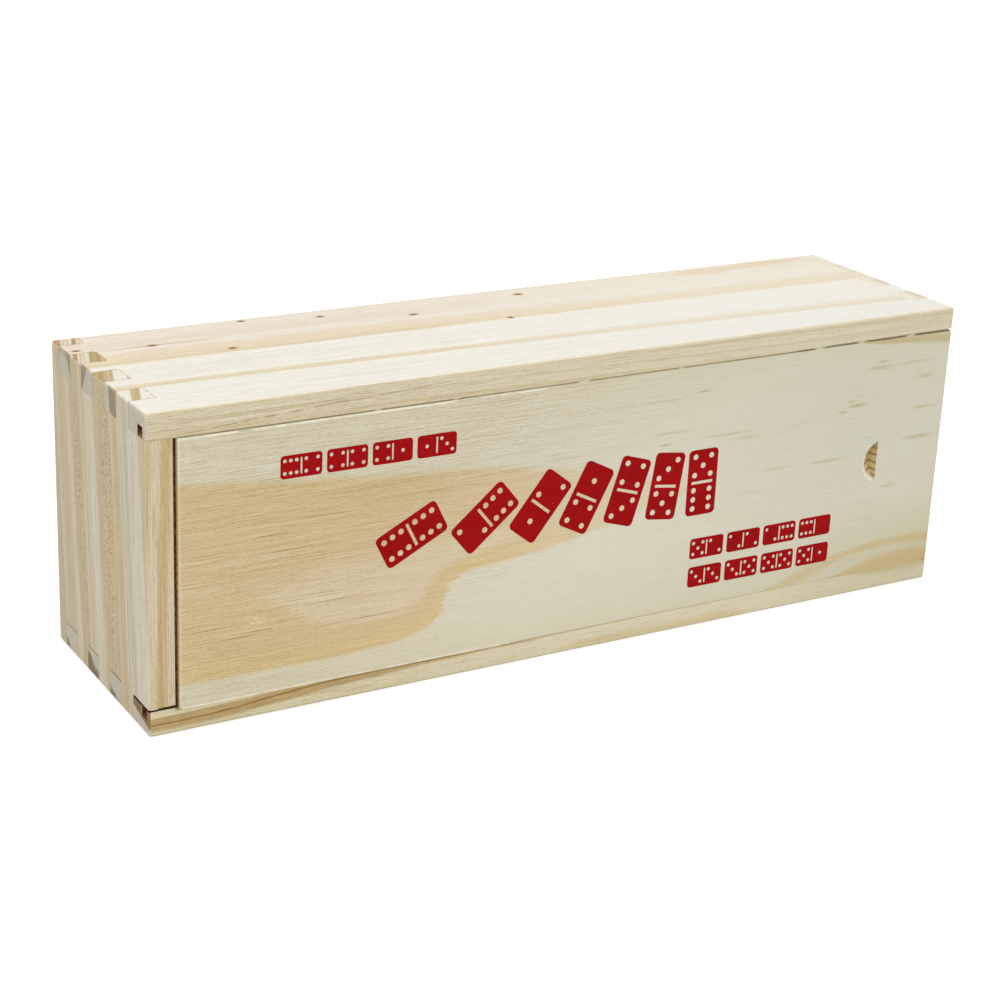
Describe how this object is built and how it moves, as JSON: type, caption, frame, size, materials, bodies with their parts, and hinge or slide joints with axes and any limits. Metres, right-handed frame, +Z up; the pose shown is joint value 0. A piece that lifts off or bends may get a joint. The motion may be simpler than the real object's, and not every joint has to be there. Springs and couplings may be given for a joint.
{
  "type": "domino storage box",
  "caption": "Long softwood box for domino tiles, finger-jointed at the corners, with a rebated lid that slides out in grooves by a thumb notch.",
  "frame": {"origin": "middle of the box's footprint, on the surface that it lies on", "axes": "+X along the box towards the open end, where the lid slides out; -Y is the front, where the lid's face is; +Z up, as the box lies on one long side"},
  "size_m": [0.188, 0.05, 0.064],
  "materials": {
    "side_board_wood": "sanded, unvarnished",
    "end_panel_wood": "sanded, unvarnished",
    "bottom_wood": "sanded, unvarnished",
    "lid_wood": "sanded, unvarnished",
    "lid_print": "screen-printed ink on bare wood"
  },
  "bodies": {
    "case": {"upper_side_board": "side_board_wood", "lower_side_board": "side_board_wood", "closed_end_panel": "end_panel_wood", "open_end_panel": "end_panel_wood", "bottom_panel": "bottom_wood"},
    "lid": {"sliding_lid": "lid_wood"}
  },
  "joints": [
    {"name": "lid_slide", "type": "slide", "parent": "case", "child": "lid", "axis": [1, 0, 0], "range_m": [0, 0.187]}
  ]
}
